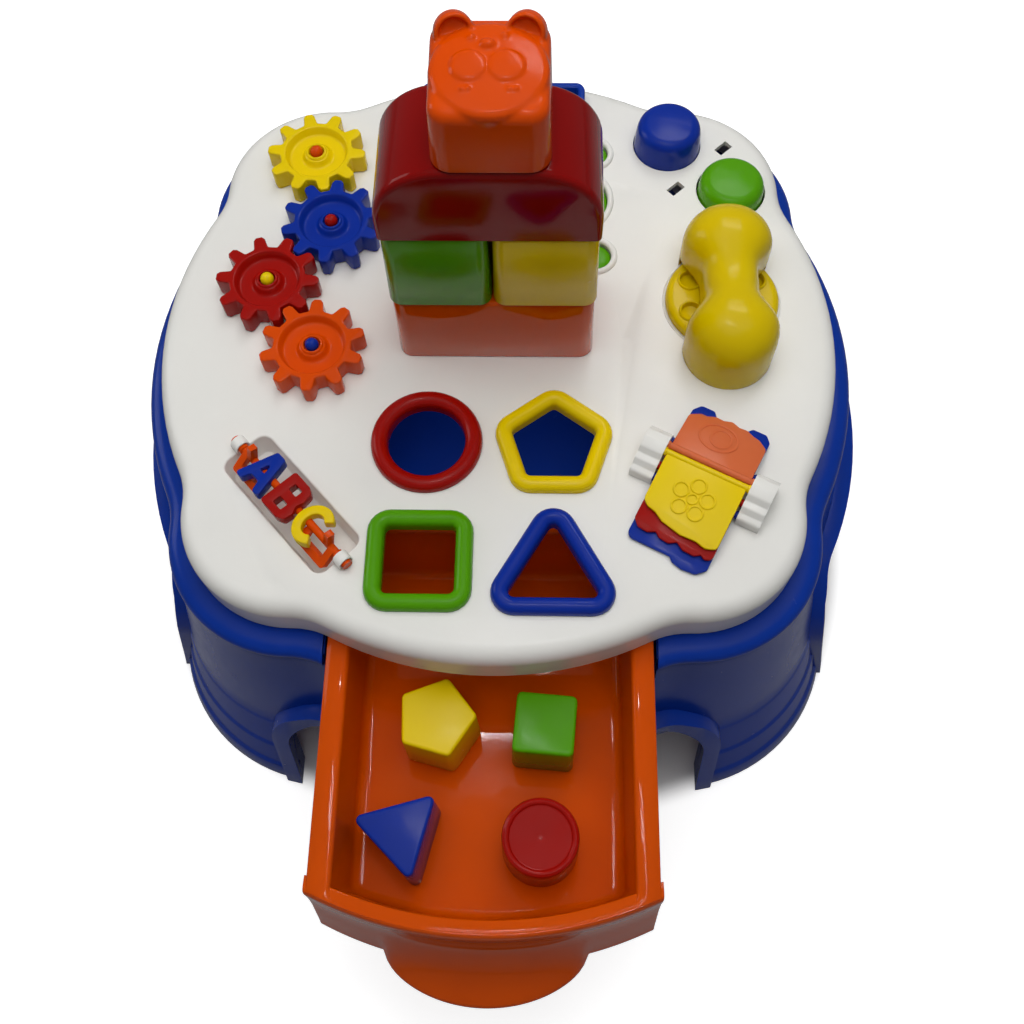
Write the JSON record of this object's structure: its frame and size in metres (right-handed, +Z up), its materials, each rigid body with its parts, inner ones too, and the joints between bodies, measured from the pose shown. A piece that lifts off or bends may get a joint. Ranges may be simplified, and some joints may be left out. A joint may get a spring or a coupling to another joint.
{
  "type": "activity table",
  "caption": "Low lobed play table on a flared shell with a drawer, shape sorter, gears, letter spinner, telephone, flip book, see-saw buttons and stacking tower.",
  "frame": {"origin": "on the floor, under the middle of the whole table with the drawer open", "axes": "+X to the right as seen from the drawer side, +Y away from the drawer, +Z up"},
  "size_m": [0.4562, 0.5844, 0.4073],
  "materials": {
    "white_plastic": "smooth injection moulded plastic, glossy",
    "blue_plastic": "smooth injection moulded plastic, glossy",
    "deep_blue_plastic": "smooth injection moulded plastic, glossy",
    "orange_plastic": "smooth injection moulded plastic, glossy",
    "bright_orange_plastic": "smooth injection moulded plastic, glossy",
    "red_plastic": "smooth injection moulded plastic, glossy",
    "dark_red_plastic": "smooth injection moulded plastic, glossy",
    "yellow_plastic": "smooth injection moulded plastic, glossy",
    "phone_yellow_plastic": "smooth injection moulded plastic, glossy",
    "green_plastic": "smooth injection moulded plastic, glossy",
    "coral_plastic": "smooth slightly translucent plastic, glossy"
  },
  "bodies": {
    "carcass": {"base_shell": "blue_plastic", "drawer_deck": "blue_plastic", "table_top": "white_plastic", "back_frame": "blue_plastic", "green_disc_back": "green_plastic", "green_disc_middle": "green_plastic", "green_disc_front": "green_plastic", "round_bezel": "red_plastic", "pentagon_bezel": "yellow_plastic", "square_bezel": "green_plastic", "triangle_bezel": "deep_blue_plastic", "yellow_gear_pin": "bright_orange_plastic", "blue_gear_pin": "red_plastic", "red_gear_pin": "yellow_plastic", "orange_gear_pin": "deep_blue_plastic", "spinner_clip_back": "white_plastic", "spinner_clip_front": "white_plastic", "dial_pivot": "phone_yellow_plastic", "rocker_pin": "white_plastic", "book_bracket_left": "white_plastic", "book_bracket_right": "white_plastic"},
    "drawer": {"drawer": "orange_plastic"},
    "pentagon_block": {"pentagon_block": "yellow_plastic"},
    "square_block": {"square_block": "green_plastic"},
    "triangle_block": {"triangle_block": "deep_blue_plastic"},
    "round_block": {"round_block": "red_plastic"},
    "yellow_gear": {"yellow_gear": "yellow_plastic"},
    "blue_gear": {"blue_gear": "deep_blue_plastic"},
    "red_gear": {"red_gear": "red_plastic"},
    "orange_gear": {"orange_gear": "bright_orange_plastic"},
    "letter_spinner": {"spinner_spindle": "bright_orange_plastic", "letter_one": "deep_blue_plastic", "letter_two": "red_plastic", "letter_three": "yellow_plastic"},
    "phone_dial": {"phone_dial": "phone_yellow_plastic"},
    "handset": {"handset": "phone_yellow_plastic"},
    "blue_button": {"blue_button": "deep_blue_plastic"},
    "green_button": {"green_button": "green_plastic"},
    "rocker_lever": {"rocker_lever": "white_plastic"},
    "yellow_page": {"yellow_page": "yellow_plastic"},
    "red_page": {"red_page": "red_plastic"},
    "blue_page": {"blue_page": "deep_blue_plastic"},
    "orange_page": {"orange_page": "coral_plastic"},
    "blue_back_page": {"blue_back_page": "deep_blue_plastic"},
    "tower_base_block": {"tower_base_block": "orange_plastic"},
    "tower_green_block": {"tower_green_block": "green_plastic"},
    "tower_yellow_block": {"tower_yellow_block": "yellow_plastic"},
    "tower_roof_block": {"tower_roof_block": "dark_red_plastic"},
    "tower_bear_block": {"tower_bear_block": "bright_orange_plastic"}
  },
  "joints": [
    {"name": "drawer_slide", "type": "slide", "parent": "carcass", "child": "drawer", "axis": [0, 1, 0], "range_m": [0, 0.11]},
    {"name": "pentagon_block_lift", "type": "slide", "parent": "drawer", "child": "pentagon_block", "axis": [0, 0, 1], "range_m": [0, 0.012]},
    {"name": "square_block_lift", "type": "slide", "parent": "drawer", "child": "square_block", "axis": [0, 0, 1], "range_m": [0, 0.012]},
    {"name": "triangle_block_lift", "type": "slide", "parent": "drawer", "child": "triangle_block", "axis": [0, 0, 1], "range_m": [0, 0.012]},
    {"name": "round_block_lift", "type": "slide", "parent": "drawer", "child": "round_block", "axis": [0, 0, 1], "range_m": [0, 0.012]},
    {"name": "yellow_gear_spin", "type": "hinge", "parent": "carcass", "child": "yellow_gear", "pos_m": [-0.113, 0.18575, 0.2115], "axis": [0, 0, 1], "continuous": true},
    {"name": "blue_gear_spin", "type": "hinge", "parent": "carcass", "child": "blue_gear", "pos_m": [-0.0996, 0.13396, 0.2115], "axis": [0, 0, 1], "continuous": true},
    {"name": "red_gear_spin", "type": "hinge", "parent": "carcass", "child": "red_gear", "pos_m": [-0.13327, 0.09238, 0.2115], "axis": [0, 0, 1], "continuous": true},
    {"name": "orange_gear_spin", "type": "hinge", "parent": "carcass", "child": "orange_gear", "pos_m": [-0.1032, 0.04813, 0.2115], "axis": [0, 0, 1], "continuous": true},
    {"name": "letter_spin", "type": "hinge", "parent": "carcass", "child": "letter_spinner", "pos_m": [-0.108, -0.04435, 0.209], "axis": [0.6787, -0.7344, 0], "continuous": true},
    {"name": "dial_turn", "type": "hinge", "parent": "carcass", "child": "phone_dial", "pos_m": [0.13, 0.08665, 0.208], "axis": [0, 0, 1], "continuous": true},
    {"name": "handset_lift", "type": "slide", "parent": "carcass", "child": "handset", "axis": [0, 0, 1], "range_m": [0, 0.06]},
    {"name": "blue_button_press", "type": "slide", "parent": "carcass", "child": "blue_button", "axis": [0, 0, 1], "range_m": [-0.008, 0]},
    {"name": "green_button_rise", "type": "slide", "parent": "carcass", "child": "green_button", "axis": [0, 0, 1], "range_m": [0, 0.008]},
    {"name": "rocker_turn", "type": "hinge", "parent": "carcass", "child": "rocker_lever", "pos_m": [0.12125, 0.1854, 0.181], "axis": [0.6875, 0.7262, 0], "range_deg": [-18, 0]},
    {"name": "yellow_page_turn", "type": "hinge", "parent": "carcass", "child": "yellow_page", "pos_m": [0.1144, -0.02815, 0.218], "axis": [-0.891, 0.454, 0], "range_deg": [0, 95]},
    {"name": "red_page_turn", "type": "hinge", "parent": "carcass", "child": "red_page", "pos_m": [0.11131, -0.03421, 0.2132], "axis": [-0.891, 0.454, 0], "range_deg": [0, 86]},
    {"name": "blue_page_turn", "type": "hinge", "parent": "carcass", "child": "blue_page", "pos_m": [0.10877, -0.0392, 0.2092], "axis": [-0.891, 0.454, 0], "range_deg": [0, 77]},
    {"name": "orange_page_turn", "type": "hinge", "parent": "carcass", "child": "orange_page", "pos_m": [0.11631, -0.02441, 0.218], "axis": [0.891, -0.454, 0], "range_deg": [0, 95]},
    {"name": "blue_back_page_turn", "type": "hinge", "parent": "carcass", "child": "blue_back_page", "pos_m": [0.11876, -0.0196, 0.213], "axis": [0.891, -0.454, 0], "range_deg": [0, 86]},
    {"name": "tower_lift", "type": "slide", "parent": "carcass", "child": "tower_base_block", "axis": [0, 0, 1], "range_m": [0, 0.06]},
    {"name": "green_block_slide", "type": "slide", "parent": "tower_base_block", "child": "tower_green_block", "axis": [-1, 0, 0], "range_m": [0, 0.045]},
    {"name": "yellow_block_slide", "type": "slide", "parent": "tower_base_block", "child": "tower_yellow_block", "axis": [1, 0, 0], "range_m": [0, 0.045]},
    {"name": "roof_lift", "type": "slide", "parent": "tower_base_block", "child": "tower_roof_block", "axis": [0, 0, 1], "range_m": [0, 0.06]},
    {"name": "bear_lift", "type": "slide", "parent": "tower_roof_block", "child": "tower_bear_block", "axis": [0, 0, 1], "range_m": [0, 0.05]}
  ],
  "couplings": [
    {"joint": "blue_gear_spin", "follows": "yellow_gear_spin", "ratio": -1},
    {"joint": "red_gear_spin", "follows": "yellow_gear_spin", "ratio": 1},
    {"joint": "orange_gear_spin", "follows": "yellow_gear_spin", "ratio": -1},
    {"joint": "green_button_rise", "follows": "blue_button_press", "ratio": -1},
    {"joint": "rocker_turn", "follows": "blue_button_press", "rad_per_m": 38.888},
    {"joint": "red_page_turn", "follows": "yellow_page_turn", "ratio": 0.9},
    {"joint": "blue_page_turn", "follows": "yellow_page_turn", "ratio": 0.8},
    {"joint": "blue_back_page_turn", "follows": "orange_page_turn", "ratio": 0.9}
  ]
}
